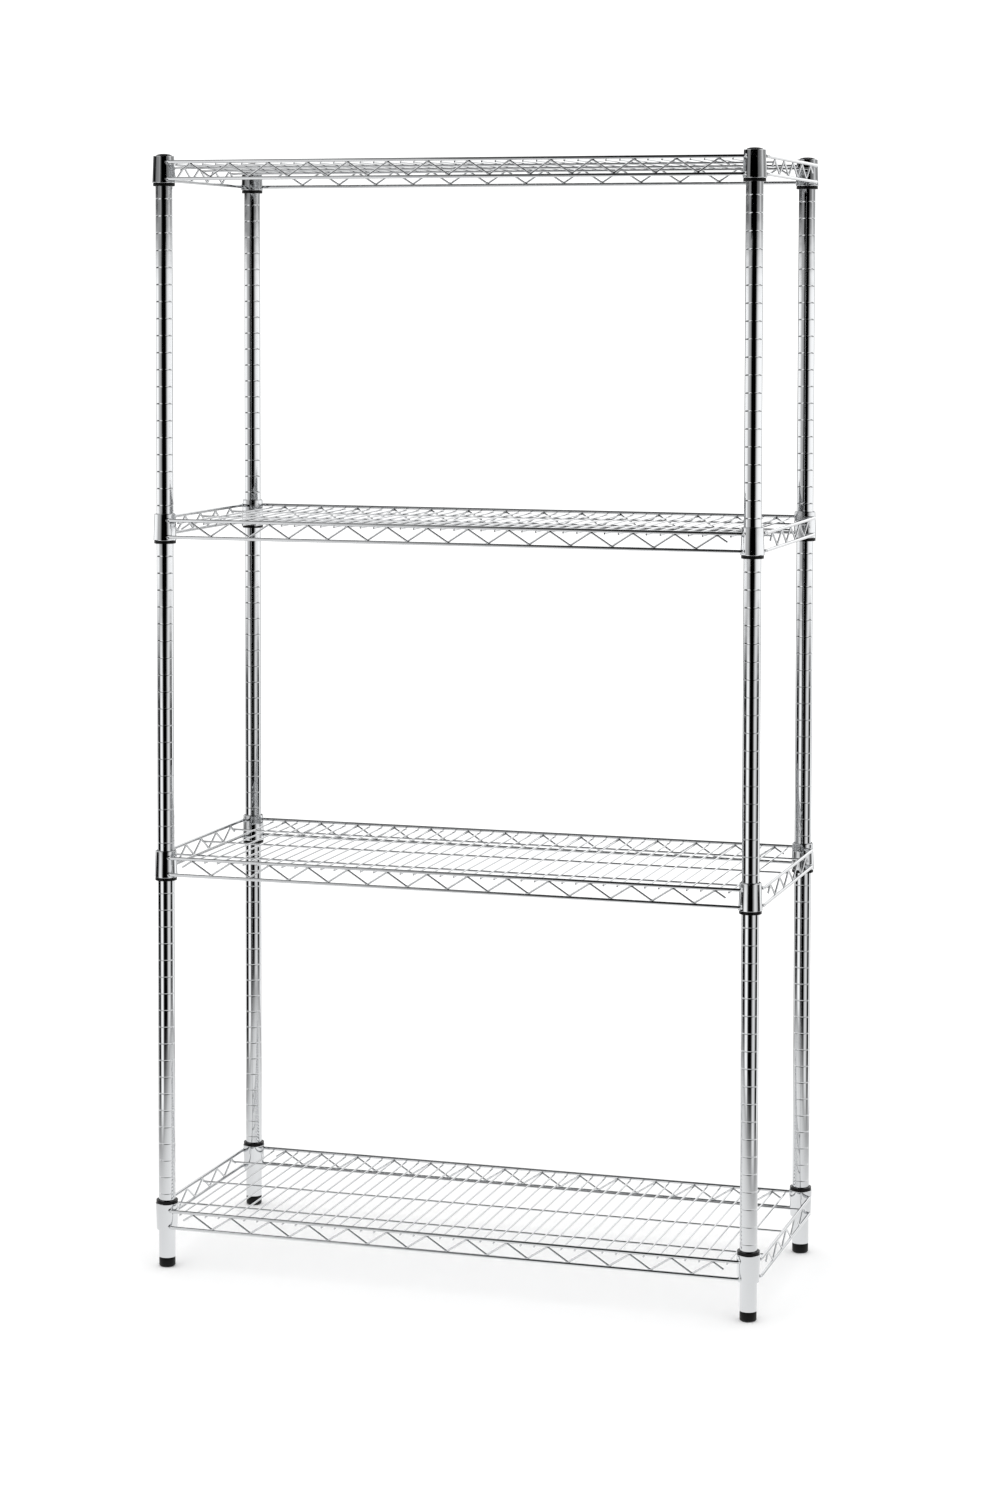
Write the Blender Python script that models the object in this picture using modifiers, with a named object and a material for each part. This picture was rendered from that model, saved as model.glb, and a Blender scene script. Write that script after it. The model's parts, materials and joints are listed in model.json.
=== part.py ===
"""Four-tier chrome wire shelving rack, modelled in metres with +Z up.

Four tubular posts stand on levelling feet. Split plastic sleeves clip into grooves
rolled round the posts, and each welded wire shelf wedges its corner collars on them.
The three upper shelves lift off their sleeves and slide up the posts. The lowest
shelf is held the other way up, with the lips of its sleeves above its collars.
The origin is on the floor under the centre of the rack, and the front faces -Y.
"""
import math

import bmesh
import bpy

# Posts
POST_SPACING_X = 0.900
POST_SPACING_Y = 0.360
POST_RADIUS = 0.0127
POST_WALL = 0.0012
POST_BOTTOM = 0.0145
POST_TOP = 1.6735
CLEARANCE = 0.0003
SIDES = 12

# Grooves round the posts, one every inch, of which the sleeves use these
GROOVE_PITCH = 0.0254
FIRST_GROOVE = 0.1128
GROOVE_DEPTH = 0.0005
GROOVE_HALF_WIDTH = 0.0012
UPPER_SLEEVE_GROOVES = (19, 39, 60)
BOTTOM_SLEEVE_GROOVE = 0.0958

# Sleeves: a tapered tube with a lip at its wide end and a rib for the groove
LIP_HEIGHT = 0.0045
LIP_RADIUS = 0.0163
LIP_TO_GROOVE = 0.0040
SLEEVE_LENGTH = 0.0360
SLEEVE_SLIT = 0.0020

# Corner collars, tapered like the sleeves inside them
COLLAR_HEIGHT = 0.0400
COLLAR_WALL = 0.0015
COLLAR_NARROW_RADIUS = 0.0158
COLLAR_WIDE_RADIUS = 0.0173

# Shelf wires, with heights measured down from the top of the collars
RAIL_RADIUS = 0.0025
RAIL_DROP = 0.0093
RAIL_SPACING = 0.0250
SNAKE_RADIUS = 0.0015
SNAKE_PERIOD = 0.0618
WELD_DEPTH = 0.0004
FRONT_PLANE = POST_SPACING_Y / 2 + 0.0155
END_PLANE = POST_SPACING_X / 2 + 0.0165
FRONT_RAIL_HALF = POST_SPACING_X / 2 - 0.0120
END_RAIL_HALF = POST_SPACING_Y / 2 - 0.0060
FRONT_PEAKS = 14
END_PEAKS = 5
DECK_WIRE_RADIUS = 0.00135
DECK_WIRES = 42
DECK_PITCH = SNAKE_PERIOD / 3
RUNNER_OFFSETS = (-2 * SNAKE_PERIOD, 0.0, 2 * SNAKE_PERIOD)

# Levelling feet, their threaded inserts, and the caps
FOOT_RADIUS = 0.0123
FOOT_CHAMFER = 0.0018
FOOT_SHOULDER = 0.0180
STEM_RADIUS = 0.0040
STEM_TOP = 0.0430
INSERT_BOTTOM = 0.0200
INSERT_TOP = 0.0450
CAP_DOME = 0.0050
CAP_RIM = 0.0012
CAP_PLUG = 0.0140

COLLECTION_NAME = "Wire shelving rack"
FINISHES = {
    "chrome": ((0.80, 0.81, 0.83), 0.08, 1.0),
    "plastic": ((0.012, 0.012, 0.013), 0.42, 0.0),
}
CORNERS = {
    "front_left": (-1, -1),
    "front_right": (1, -1),
    "back_left": (-1, 1),
    "back_right": (1, 1),
}


def clear_scene():
    for obj in list(bpy.data.objects):
        bpy.data.objects.remove(obj, do_unlink=True)


def make_collection(name):
    collection = bpy.data.collections.new(name)
    bpy.context.scene.collection.children.link(collection)
    return collection


def make_material(name, colour, roughness, metallic):
    material = bpy.data.materials.new(name)
    material.use_nodes = True
    shader = material.node_tree.nodes["Principled BSDF"]
    shader.inputs["Base Color"].default_value = (*colour, 1.0)
    shader.inputs["Roughness"].default_value = roughness
    shader.inputs["Metallic"].default_value = metallic
    return material


def corner_position(signs, height=0.0):
    return (signs[0] * POST_SPACING_X / 2, signs[1] * POST_SPACING_Y / 2, height)


def add_part(name, mesh, material_name, location=(0, 0, 0), turn=(0, 0, 0), parent=None):
    """One sub-part: its own object and material, on a mesh that copies may share."""
    obj = bpy.data.objects.new(name, mesh)
    parts.objects.link(obj)
    obj.location = location
    obj.rotation_euler = turn
    obj.parent = parent
    if not mesh.materials:
        mesh.materials.append(None)
    obj.material_slots[0].link = "OBJECT"
    obj.material_slots[0].material = make_material(name, *FINISHES[material_name])
    return obj


def evaluated_mesh(obj, name):
    """The mesh of an object with its modifiers applied; the object is then removed."""
    graph = bpy.context.evaluated_depsgraph_get()
    mesh = bpy.data.meshes.new_from_object(obj.evaluated_get(graph))
    mesh.name = name
    bpy.data.objects.remove(obj, do_unlink=True)
    return mesh


def smooth(mesh):
    mesh.shade_smooth()
    mesh.set_sharp_from_angle(angle=math.radians(40))
    return mesh


def turned_mesh(name, profile, closed):
    """Turns a profile of (radius, height) points, listed down the outer side, about Z."""
    outline = bpy.data.meshes.new(name + " profile")
    count = len(profile)
    edges = [(i, i + 1) for i in range(count - 1)]
    if closed:
        edges.append((count - 1, 0))
    outline.from_pydata([(radius, 0.0, height) for radius, height in profile], edges, [])
    obj = bpy.data.objects.new(name, outline)
    cutters.objects.link(obj)
    screw = obj.modifiers.new("Turn", "SCREW")
    screw.axis = "Z"
    screw.angle = 2 * math.pi
    screw.steps = SIDES
    screw.render_steps = SIDES
    screw.use_merge_vertices = True
    screw.merge_threshold = 0.00001
    return evaluated_mesh(obj, name)


def wire_object(name, paths, radius, resolution=0):
    """Wires along the given paths, as one mesh object with welded caps.

    Resolution 0 gives a square section with a corner up, and 1 a hexagon with a flat up.
    """
    curve = bpy.data.curves.new(name, "CURVE")
    curve.dimensions = "3D"
    curve.bevel_depth = radius
    curve.bevel_resolution = resolution
    curve.use_fill_caps = True
    for path in paths:
        spline = curve.splines.new("POLY")
        spline.points.add(len(path) - 1)
        for point, position in zip(spline.points, path):
            point.co = (*position, 1.0)
    obj = bpy.data.objects.new(name, curve)
    cutters.objects.link(obj)
    mesh = evaluated_mesh(obj, name)
    shape = bmesh.new()
    shape.from_mesh(mesh)
    bmesh.ops.remove_doubles(shape, verts=shape.verts, dist=0.00001)
    bmesh.ops.recalc_face_normals(shape, faces=shape.faces)
    shape.to_mesh(mesh)
    shape.free()
    wires = bpy.data.objects.new(name, mesh)
    cutters.objects.link(wires)
    return wires


def boolean_mesh(base, other, operation, name):
    """Joins or cuts two mesh objects, and removes both."""
    cut = base.modifiers.new(operation.title(), "BOOLEAN")
    cut.operation = operation
    cut.solver = "EXACT"
    cut.object = other
    bpy.context.view_layer.update()
    mesh = evaluated_mesh(base, name)
    bpy.data.objects.remove(other, do_unlink=True)
    return mesh


def link_mesh(name, mesh):
    obj = bpy.data.objects.new(name, mesh)
    cutters.objects.link(obj)
    return obj


def joined_object(name, pieces):
    """Several separate meshes, each with a place, as one object for a Boolean."""
    shape = bmesh.new()
    for mesh, (dx, dy, dz) in pieces:
        first = len(shape.verts)
        shape.from_mesh(mesh)
        shape.verts.ensure_lookup_table()
        bmesh.ops.translate(shape, verts=shape.verts[first:], vec=(dx, dy, dz))
    mesh = bpy.data.meshes.new(name)
    shape.to_mesh(mesh)
    shape.free()
    return link_mesh(name, mesh)


def groove_points(height):
    """The outline of one V groove, listed downwards."""
    return [
        (POST_RADIUS, height + GROOVE_HALF_WIDTH),
        (POST_RADIUS - GROOVE_DEPTH, height),
        (POST_RADIUS, height - GROOVE_HALF_WIDTH),
    ]


def upper_groove_heights():
    return [FIRST_GROOVE + GROOVE_PITCH * number for number in UPPER_SLEEVE_GROOVES]


def post_mesh():
    outer = [(POST_RADIUS, POST_TOP)]
    for height in sorted(upper_groove_heights() + [BOTTOM_SLEEVE_GROOVE], reverse=True):
        outer += groove_points(height)
    outer.append((POST_RADIUS, POST_BOTTOM))
    bore = POST_RADIUS - POST_WALL
    return smooth(turned_mesh("Post", outer + [(bore, POST_BOTTOM), (bore, POST_TOP)], True))


def sleeve_mesh():
    """A split sleeve, lip down, with the middle of its lip at height 0."""
    bore = POST_RADIUS + CLEARANCE
    narrow = COLLAR_NARROW_RADIUS - COLLAR_WALL - CLEARANCE
    wide = COLLAR_WIDE_RADIUS - COLLAR_WALL - CLEARANCE
    lip_top = LIP_HEIGHT / 2
    rib_tip = POST_RADIUS - GROOVE_DEPTH + CLEARANCE
    rib_half = GROOVE_HALF_WIDTH
    profile = [
        (narrow, lip_top + SLEEVE_LENGTH),
        (wide, lip_top),
        (LIP_RADIUS, lip_top),
        (LIP_RADIUS, -lip_top),
        (bore, -lip_top),
        (bore, LIP_TO_GROOVE - rib_half),
        (rib_tip, LIP_TO_GROOVE),
        (bore, LIP_TO_GROOVE + rib_half),
        (bore, lip_top + SLEEVE_LENGTH),
    ]
    ring = link_mesh("Sleeve", turned_mesh("Sleeve ring", profile, True))
    bpy.ops.mesh.primitive_cube_add(size=1.0)
    slit = bpy.context.object
    slit.scale = (SLEEVE_SLIT, 2 * LIP_RADIUS, 2 * (SLEEVE_LENGTH + LIP_HEIGHT))
    slit.location = (0, LIP_RADIUS, 0)
    slit.hide_render = True
    slit.display_type = "WIRE"
    return smooth(boolean_mesh(ring, slit, "DIFFERENCE", "Sleeve"))


def foot_mesh():
    """A levelling foot standing on height 0, with its screw stem."""
    inside = POST_RADIUS - POST_WALL - 1.5 * CLEARANCE
    seat = POST_BOTTOM - CLEARANCE
    profile = [
        (0, STEM_TOP),
        (STEM_RADIUS, STEM_TOP),
        (STEM_RADIUS, FOOT_SHOULDER),
        (inside - 0.0024, FOOT_SHOULDER),
        (inside, seat + 0.0014),
        (inside, seat),
        (FOOT_RADIUS, seat),
        (FOOT_RADIUS, FOOT_CHAMFER),
        (FOOT_RADIUS - FOOT_CHAMFER, 0),
        (0, 0),
    ]
    return smooth(turned_mesh("Foot", profile, False))


def insert_mesh():
    """The threaded plug inside a post's lower end."""
    rim = POST_RADIUS - POST_WALL - CLEARANCE
    bore = STEM_RADIUS + CLEARANCE
    profile = [(rim, INSERT_TOP), (rim, INSERT_BOTTOM), (bore, INSERT_BOTTOM), (bore, INSERT_TOP)]
    return smooth(turned_mesh("Insert", profile, True))


def cap_mesh():
    """The domed plug in a post's upper end, with its rim's underside at height 0."""
    plug = POST_RADIUS - POST_WALL - CLEARANCE
    profile = [(0, CAP_DOME)]
    for step in (1, 2, 3):
        angle = math.radians(30 * step)
        rise = (CAP_DOME - CAP_RIM) * math.cos(angle)
        profile.append((POST_RADIUS * math.sin(angle), CAP_RIM + rise))
    profile += [(POST_RADIUS, 0), (plug, 0), (plug, -CAP_PLUG), (0, -CAP_PLUG)]
    return smooth(turned_mesh("Cap", profile, False))


def collar_mesh(wide_end_up):
    """A tapered corner collar with its top at height 0."""
    top = COLLAR_WIDE_RADIUS if wide_end_up else COLLAR_NARROW_RADIUS
    bottom = COLLAR_NARROW_RADIUS if wide_end_up else COLLAR_WIDE_RADIUS
    profile = [
        (top, 0),
        (bottom, -COLLAR_HEIGHT),
        (bottom - COLLAR_WALL, -COLLAR_HEIGHT),
        (top - COLLAR_WALL, 0),
    ]
    return turned_mesh("Collar", profile, True)


def snake_path(peaks):
    """The zigzag wire between two rails, as (distance along, height) points.

    Its peaks touch the upper rail, its dips touch the lower one, and each end is a
    half leg that stops between the rails.
    """
    rail_flat = RAIL_RADIUS * math.cos(math.radians(30))
    to_rail = rail_flat + SNAKE_RADIUS - WELD_DEPTH
    high = -RAIL_DROP - to_rail
    low = -RAIL_DROP - RAIL_SPACING + to_rail
    half = SNAKE_PERIOD / 2
    start = -(peaks - 1) * half
    points = [(start - half / 2, (high + low) / 2)]
    for number in range(2 * peaks - 1):
        points.append((start + number * half, low if number % 2 else high))
    points.append((-points[0][0], points[0][1]))
    return points


def rail_heights():
    return (-RAIL_DROP, -RAIL_DROP - RAIL_SPACING)


def truss_mesh():
    """A front or back truss along X: two rails with the zigzag wire between them."""
    rails = [[(-FRONT_RAIL_HALF, 0, z), (FRONT_RAIL_HALF, 0, z)] for z in rail_heights()]
    snake = [(x, 0, z) for x, z in snake_path(FRONT_PEAKS)]
    rail_wires = wire_object("Rails", rails, RAIL_RADIUS, 1)
    snake_wire = wire_object("Snake", [snake], SNAKE_RADIUS)
    return smooth(boolean_mesh(rail_wires, snake_wire, "UNION", "Truss"))


def end_mesh(wide_end_up):
    """A right-hand end: a truss along Y with the two corner collars it joins."""
    rails = [[(END_PLANE, -END_RAIL_HALF, z), (END_PLANE, END_RAIL_HALF, z)] for z in rail_heights()]
    snake = [(END_PLANE, y, z) for y, z in snake_path(END_PEAKS)]
    rail_wires = wire_object("End rails", rails, RAIL_RADIUS, 1)
    snake_wire = wire_object("End snake", [snake], SNAKE_RADIUS)
    collar = collar_mesh(wide_end_up)
    pieces = [(snake_wire.data, (0, 0, 0))]
    for side in (-1, 1):
        pieces.append((collar, corner_position((1, side))))
    joined = joined_object("Snake and collars", pieces)
    bpy.data.objects.remove(snake_wire, do_unlink=True)
    return smooth(boolean_mesh(rail_wires, joined, "UNION", "End"))


def deck_mesh():
    """The wire mat: cross wires welded on top of three runners."""
    wire_z = -RAIL_DROP - RAIL_RADIUS - CLEARANCE - DECK_WIRE_RADIUS
    runner_z = wire_z - DECK_WIRE_RADIUS - SNAKE_RADIUS + WELD_DEPTH
    wire_half = FRONT_PLANE - SNAKE_RADIUS - CLEARANCE
    runner_half = END_PLANE - SNAKE_RADIUS - CLEARANCE
    cross = []
    for number in range(DECK_WIRES):
        x = (number - (DECK_WIRES - 1) / 2) * DECK_PITCH
        cross.append([(x, -wire_half, wire_z), (x, wire_half, wire_z)])
    runners = [[(-runner_half, y, runner_z), (runner_half, y, runner_z)] for y in RUNNER_OFFSETS]
    runner_wires = wire_object("Runners", runners, SNAKE_RADIUS)
    cross_wires = wire_object("Cross wires", cross, DECK_WIRE_RADIUS)
    return smooth(boolean_mesh(runner_wires, cross_wires, "UNION", "Deck"))


def add_posts():
    post, foot, insert, cap = post_mesh(), foot_mesh(), insert_mesh(), cap_mesh()
    for corner, signs in CORNERS.items():
        place = corner_position(signs)
        add_part("post_" + corner, post, "chrome", place)
        add_part("insert_" + corner, insert, "plastic", place)
        add_part("foot_" + corner, foot, "plastic", place)
        add_part("cap_" + corner, cap, "plastic", corner_position(signs, POST_TOP + CLEARANCE))


def add_shelf(number, lip_height, meshes, lip_above):
    """One shelf and its four sleeves. The shelf's parts hang from an empty at its centre."""
    lip_edge = LIP_HEIGHT / 2 + CLEARANCE
    top = lip_height - lip_edge if lip_above else lip_height + lip_edge + COLLAR_HEIGHT
    centre = bpy.data.objects.new(f"shelf_{number}_slide", None)
    parts.objects.link(centre)
    centre.location = (0, 0, top)
    name = f"shelf_{number}_"
    end = meshes["flipped end" if lip_above else "end"]
    add_part(name + "deck", meshes["deck"], "chrome", parent=centre)
    add_part(name + "front_truss", meshes["truss"], "chrome", (0, -FRONT_PLANE, 0), parent=centre)
    add_part(name + "back_truss", meshes["truss"], "chrome", (0, FRONT_PLANE, 0), parent=centre)
    add_part(name + "right_end", end, "chrome", parent=centre)
    add_part(name + "left_end", end, "chrome", turn=(0, 0, math.pi), parent=centre)
    sleeve_turn = (0, math.pi, 0) if lip_above else (0, 0, 0)
    for corner, signs in CORNERS.items():
        place = corner_position(signs, lip_height)
        add_part(f"sleeve_{number}_{corner}", meshes["sleeve"], "plastic", place, sleeve_turn)

clear_scene()
parts = make_collection(COLLECTION_NAME)
cutters = make_collection("Cutters")
shared = {
    "deck": deck_mesh(),
    "truss": truss_mesh(),
    "end": end_mesh(False),
    "flipped end": end_mesh(True),
    "sleeve": sleeve_mesh(),
}
add_posts()
add_shelf(1, BOTTOM_SLEEVE_GROOVE + LIP_TO_GROOVE, shared, True)
for shelf_number, groove in enumerate(upper_groove_heights(), start=2):
    add_shelf(shelf_number, groove - LIP_TO_GROOVE, shared, False)
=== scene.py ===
import json
import math

import bmesh
import bpy
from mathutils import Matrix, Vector


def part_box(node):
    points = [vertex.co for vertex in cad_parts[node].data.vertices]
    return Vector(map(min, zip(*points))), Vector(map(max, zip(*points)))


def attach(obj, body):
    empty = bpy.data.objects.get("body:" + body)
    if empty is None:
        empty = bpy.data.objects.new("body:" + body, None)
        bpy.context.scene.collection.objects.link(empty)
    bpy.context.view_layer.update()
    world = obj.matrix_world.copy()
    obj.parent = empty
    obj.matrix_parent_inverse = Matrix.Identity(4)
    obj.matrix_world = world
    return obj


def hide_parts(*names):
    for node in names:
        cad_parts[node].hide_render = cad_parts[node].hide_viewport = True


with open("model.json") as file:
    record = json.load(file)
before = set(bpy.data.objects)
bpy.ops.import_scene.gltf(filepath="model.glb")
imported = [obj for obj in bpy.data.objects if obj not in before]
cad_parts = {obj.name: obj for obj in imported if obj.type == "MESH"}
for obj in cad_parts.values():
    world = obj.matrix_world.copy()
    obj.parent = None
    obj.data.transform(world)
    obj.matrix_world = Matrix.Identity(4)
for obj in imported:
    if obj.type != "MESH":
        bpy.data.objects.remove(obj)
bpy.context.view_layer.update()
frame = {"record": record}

# Looks of the four-tier chrome wire shelving rack. Every piece stands for one CAD node of
# the same name and rides on that node's body. Lengths are in metres and angles in degrees.

TURN = 2 * math.pi

# Posts
POST_RADIUS = 0.0127
POST_WALL = 0.0012
GROOVE_PITCH = 0.0254
FIRST_GROOVE = 0.1128
GROOVE_DEPTH = 0.00018
GROOVE_HALF_WIDTH = 0.0009
POST_LIP = 0.0004
# (distance from the middle, depth), as shares of the groove's half width and depth
GROOVE_SHAPE = (
    (-1.5, 0.0), (-1.1, 0.0), (-0.75, 0.12), (-0.35, 0.75), (0.0, 1.0),
    (0.35, 0.75), (0.75, 0.12), (1.1, 0.0), (1.5, 0.0),
)

# Meshes: how many sides round shapes get, and how many steps their corners get
POST_SIDES = 64
RAIL_SIDES = 18
WIRE_SIDES = 12
STEM_SIDES = 32
DISC_SIDES = 96
PROFILE_STEPS = 3
RAIL_STEPS = 5
SNAKE_STEPS = 6
# (rings, sides) of a bead of weld
SMALL_BEAD = (5, 10)
LARGE_BEAD = (6, 14)
WIRE_CHAMFER = 0.0003
# A line longer than LONG_LINE gets a point SUPPORT away from each end, which keeps it flat
LONG_LINE = 0.004
SUPPORT = 0.0006
# Corners whose sides make a half angle wider than this are left as they are
NEARLY_STRAIGHT = 89.0
SHARP_ANGLE = 42.0
MERGE_DISTANCE = 0.000002

# Sleeves
LIP_HEIGHT = 0.0045
LIP_RADIUS = 0.0163
LIP_TO_GROOVE = 0.0040
SLEEVE_LENGTH = 0.0360
SLEEVE_SLIT = 0.0020
SLEEVE_ROUNDING = 0.0002
CLEARANCE = 0.0003

# Collars
COLLAR_HEIGHT = 0.0400
COLLAR_WALL = 0.0015
COLLAR_NARROW_RADIUS = 0.0158
COLLAR_WIDE_RADIUS = 0.0173
COLLAR_ROUNDING = 0.0005

# Shelf wires. A drop is how far down from the top of the collars, and a Z is a height above it.
RAIL_RADIUS = 0.0025
RAIL_DROP = 0.0093
RAIL_SPACING = 0.0250
SNAKE_RADIUS = 0.0015
SNAKE_PERIOD = 0.0618
SNAKE_BEND = 0.0040
SNAKE_TO_RAIL = 0.0033
FRONT_OFFSET = 0.0155
END_OFFSET = 0.0165
FRONT_PEAKS = 14
END_PEAKS = 5
DECK_WIRE_RADIUS = 0.00135
DECK_WIRES = 42
DECK_PITCH = SNAKE_PERIOD / 3
DECK_WIRE_Z = -0.01345
RUNNER_Z = -0.0159
RUNNER_OFFSETS = (-2 * SNAKE_PERIOD, 0.0, 2 * SNAKE_PERIOD)
DECK_WIRE_OVERHANG = 0.0016

# Where the rails meet the collars: the direction from the post's middle to the rail's end,
# from the way the truss faces, how far the end is inside the collar's surface (less than 0 is
# short of it), how long the bent stretch is, and the radius of its bend
FRONT_RAIL_LEAN = 38.0
FRONT_RAIL_SINK = 0.0005
FRONT_RAIL_TURN = 0.0035
FRONT_RAIL_BEND = 0.0060
END_RAIL_LEAN = 28.0
END_RAIL_SINK = -0.0001
END_RAIL_TURN = 0.0050
END_RAIL_BEND = 0.0080

# Welds as half sizes: (across, up, through) at a rail's end, (along, across, through) at a
# bend of the zigzag, and (across, along, through) where a deck wire lies on a runner
FRONT_WELD = (0.0034, 0.0034, 0.0016)
FRONT_WELD_SINK = 0.0006
END_WELD = (0.0036, 0.0033, 0.0015)
END_WELD_SINK = 0.0002
SNAKE_WELD = (0.0030, 0.0013, 0.0007)
DECK_WELD = (0.0016, 0.0019, 0.0007)

# Feet, inserts and caps
FOOT_RADIUS = 0.0123
FOOT_CHAMFER = 0.0018
FOOT_SEAT = 0.0142
FOOT_SHOULDER = 0.0180
FOOT_LEAD_IN = 0.0024
FOOT_EDGE = 0.0002
FOOT_CLEARANCE = 0.00045
STEM_RADIUS = 0.0040
STEM_TOP = 0.0430
THREAD_PITCH = 0.00125
THREAD_DEPTH = 0.0007
THREAD_STEPS = 6
STEM_OVERLAP = 0.0005
INSERT_BOTTOM = 0.0200
INSERT_TOP = 0.0450
INSERT_ROUNDING = 0.0004
CAP_DOME = 0.0050
CAP_RIM = 0.0012
CAP_PLUG = 0.0140
CAP_EDGE = 0.0003
CAP_DOME_RADIUS = 0.0126
CAP_DOME_SPAN = 84.0
CAP_DOME_STEPS = 12

# Camera
CAMERA_PLACE = (1.4878, -4.7739, 1.4700)
CAMERA_YAW = 17.103
CAMERA_PITCH = -2.936
CAMERA_ROLL = -0.116
CAMERA_LENS = 79.64
CAMERA_SENSOR = 36.0
CAMERA_SHIFT_Y = -0.19

# Finishes. A noise's range is the part of its values over which its effect comes in.
NOISE_SPREAD = 40.0
CHROME_COLOUR = (0.60, 0.61, 0.62)
HAZE_NOISE = {"scale": 28.0, "detail": 5.0}
HAZE_RANGE = (0.45, 0.75)
RUB_NOISE = {"scale": 700.0, "detail": 2.0}
RUB_RANGE = (0.62, 0.78)
RUB_SHARE = 0.6
RUB_STRENGTH = 0.08
RUB_DEPTH = 0.00005
GRIME_NOISE = {"scale": 160.0, "detail": 6.0, "roughness": 0.65}
GRIME_RANGE = (0.60, 0.82)
GRIME_SHADE = 0.86
RIPPLE_NOISE = {"scale": 45.0, "detail": 1.0}
RIPPLE_DEPTH = 0.0004
PLASTIC_SHINE = 0.14
GRAIN_NOISE = {"scale": 2600.0, "detail": 2.0}
GRAIN_DEPTH = 0.00008
SCUFF_NOISE = {"scale": 240.0, "stretch": (1, 1, 0.35), "detail": 6.0, "roughness": 0.7}
SCUFF_RANGE = (0.58, 0.72)
SCUFF_ROUGHNESS = 0.12
CLOUD_NOISE = {"scale": 90.0}
CLOUD_RANGE = (0.3, 0.7)
CLOUD_ROUGHNESS = (-0.06, 0.08)
FLOOR_COLOUR = (0.95, 0.95, 0.95)
FLOOR_NOISE = {"scale": 30.0, "detail": 2.0}
FLOOR_SHADE = 0.99
FLOOR_ROUGHNESS = 0.9

# Studio: what is reflected, as (direction round the rack, brightness) stops, all of them
# times STUDIO_GAIN. Direction 0 is the front, -Y, and positive directions turn towards +X.
STUDIO_GAIN = 1.64
LOW_BAND = (
    (-180, 0.60), (-168, 0.66), (-157, 0.40), (-151, 0.60), (-146, 0.02), (-128, 0.0),
    (-121, 0.90), (-112, 0.90), (-103, 0.0), (-66, 0.0), (-58, 0.28), (-47, 0.90),
    (-27, 0.90), (-14, 0.12), (-8, 0.0), (30, 0.0), (42, 0.28), (54, 0.70), (70, 0.62),
    (82, 0.35), (92, 0.0), (112, 0.0), (122, 0.60), (130, 0.95), (148, 0.90), (151, 0.05),
    (156, 0.02), (160, 0.55), (168, 0.66), (180, 0.60),
)
MIDDLE_BAND = (
    (-180, 0.60), (-168, 0.66), (-157, 0.40), (-151, 0.60), (-146, 0.02), (-128, 0.0),
    (-121, 0.95), (-80, 0.95), (-62, 0.65), (-52, 0.40), (-38, 0.42), (-24, 0.25),
    (-13, 0.0), (38, 0.0), (45, 0.18), (52, 0.38), (62, 0.72), (80, 0.88), (95, 0.95),
    (148, 0.95), (151, 0.05), (156, 0.02), (160, 0.55), (168, 0.66), (180, 0.60),
)
TOP_BAND = (
    (-180, 0.92), (-168, 0.88), (-157, 0.45), (-150, 0.60), (-145, 0.05), (-120, 0.05),
    (-112, 0.15), (-98, 0.0), (-80, 0.0), (-70, 0.08), (-55, 0.22), (-40, 0.20),
    (-22, 0.32), (-16, 0.20), (-11, 0.06), (-4, 0.02), (2, 0.0), (40, 0.0), (52, 0.14),
    (66, 0.15), (80, 0.30), (96, 0.62), (114, 0.20), (136, 0.25), (148, 0.60),
    (151, 0.05), (157, 0.05), (160, 0.45), (168, 0.88), (180, 0.92),
)
HIGH_BAND = (
    (-180, 0.92), (-168, 0.88), (-157, 0.40), (-151, 0.60), (-146, 0.02), (-128, 0.0),
    (-121, 0.95), (-30, 0.95), (-25, 0.45), (-20, 0.05), (-17, 0.0), (60, 0.0),
    (68, 0.95), (148, 0.95), (151, 0.05), (156, 0.02), (160, 0.50), (168, 0.88),
    (180, 0.92),
)
# Elevations between which one band turns into the next
LOW_TO_MIDDLE = (-7.0, -4.5)
MIDDLE_TO_TOP = (0.0, 1.8)
TOP_TO_HIGH = (14.0, 20.0)
HIGH_TO_CEILING = (45.0, 57.0)
CEILING = 0.02
BANDS = (
    (LOW_TO_MIDDLE, MIDDLE_BAND),
    (MIDDLE_TO_TOP, TOP_BAND),
    (TOP_TO_HIGH, HIGH_BAND),
)
# How bright the studio is for everything but reflections
DIFFUSE_LIGHT = 1.22
FLOOR_RADIUS = 3.0
# The light pool is painted light: a glowing disc that only reflections show, bright near the rack
# and fading outwards.
POOL_RADIUS = 1.8
POOL_HEIGHT = -0.0005
# Distances between which what is under the light pool comes to show through it
POOL_EDGE = (1.1, 1.6)
# (distance from the rack's centre, brightness)
POOL_STOPS = (
    (0.0, 0.80), (0.72, 0.66), (0.90, 0.60), (1.08, 0.49), (1.18, 0.36), (1.42, 0.18),
    (1.60, 0.05), (1.80, 0.0),
)
# Opposite corners of a black card in front of the rack, which shows only in reflections: a painted
# dark reflection
FLAG = ((-0.52, -1.63, 1.58), (1.19, -1.63, 3.00))

CORNERS = {
    "front_left": (-1, -1),
    "front_right": (1, -1),
    "back_left": (-1, 1),
    "back_right": (1, 1),
}
SHELVES = (1, 2, 3, 4)


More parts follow.
